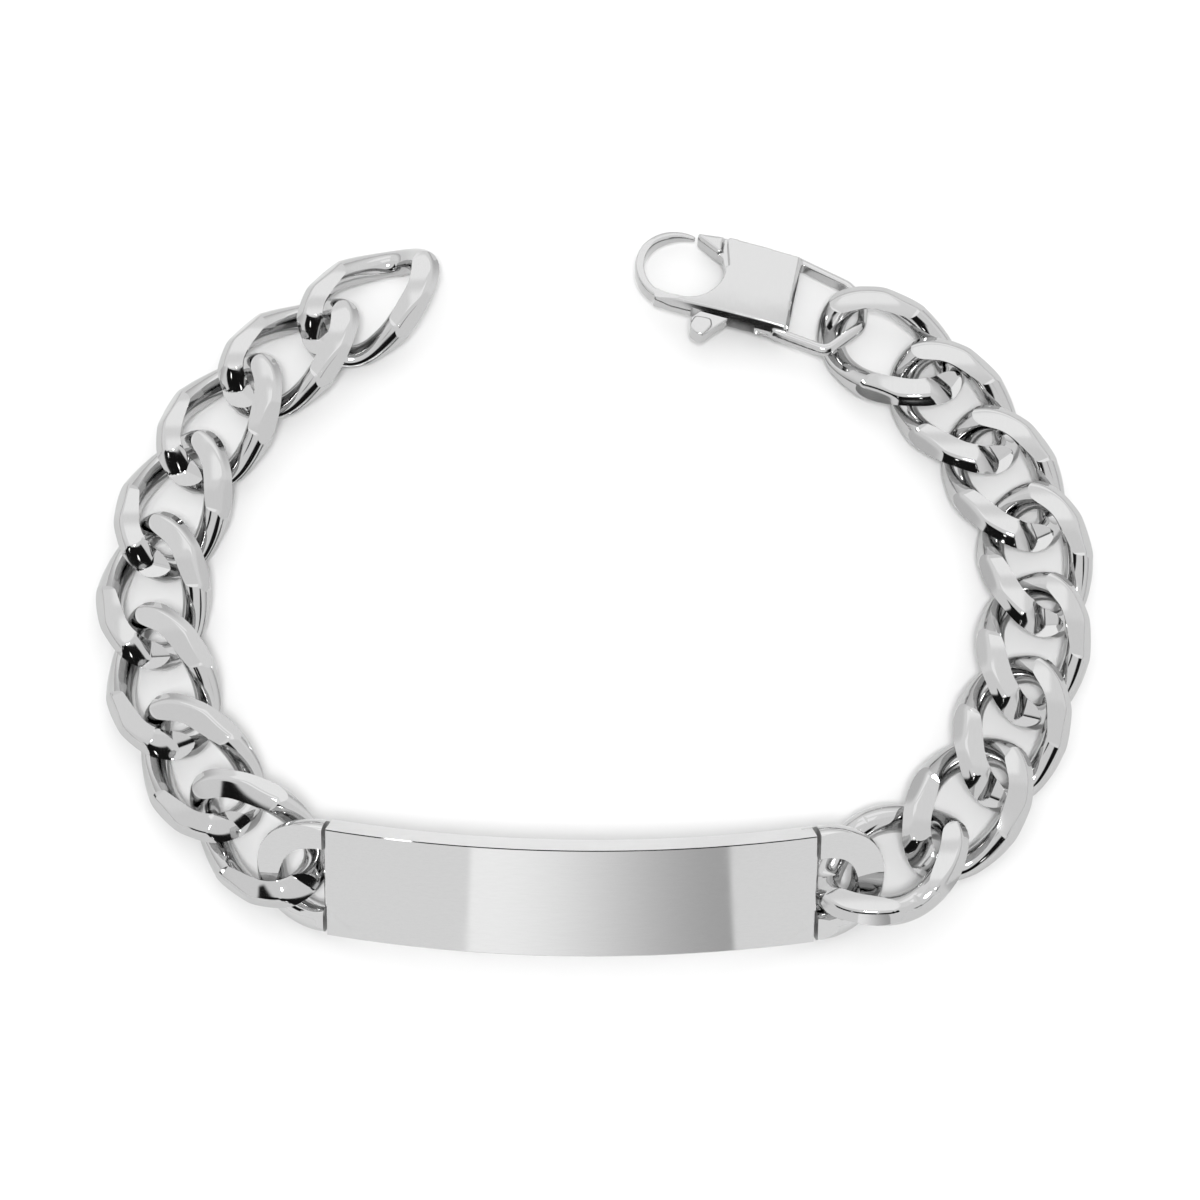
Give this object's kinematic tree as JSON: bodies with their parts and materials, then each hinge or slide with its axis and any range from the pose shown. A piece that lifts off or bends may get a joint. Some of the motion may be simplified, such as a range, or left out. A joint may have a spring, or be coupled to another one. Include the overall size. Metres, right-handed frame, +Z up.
{
  "type": "identity bracelet",
  "caption": "Curved bare name plate between two curb chains that lie open, with a sprung lever clasp on one chain end and a plain end link on the other.",
  "frame": {"origin": "middle of the bracelet's bounding box in X and Y, at the height of the surface that it lies on", "axes": "+X to the right along the name plate, +Y from the plate into the open loop, +Z up from the surface"},
  "size_m": [0.0914, 0.0716, 0.012],
  "materials": {
    "plate": "mirror-polished stainless steel",
    "chain": "diamond-cut and polished stainless steel",
    "clasp": "polished stainless steel"
  },
  "bodies": {
    "bracelet": {"id_plate": "plate", "left_link_1": "chain", "left_link_2": "chain", "left_link_3": "chain", "left_link_4": "chain", "left_link_5": "chain", "left_link_6": "chain", "left_link_7": "chain", "left_link_8": "chain", "right_link_1": "chain", "right_link_2": "chain", "right_link_3": "chain", "right_link_4": "chain", "right_link_5": "chain", "right_link_6": "chain", "right_link_7": "chain", "right_link_8": "chain", "clasp_body": "clasp"},
    "lever": {"clasp_lever": "clasp"}
  },
  "joints": [
    {"name": "lever_hinge", "type": "hinge", "parent": "bracelet", "child": "lever", "pos_m": [0.01351, 0.0294, 0.0023], "axis": [0.0526, 0.1834, 0.9816], "range_deg": [0, 35], "stiffness_Nm_per_rad": 0.0005}
  ]
}
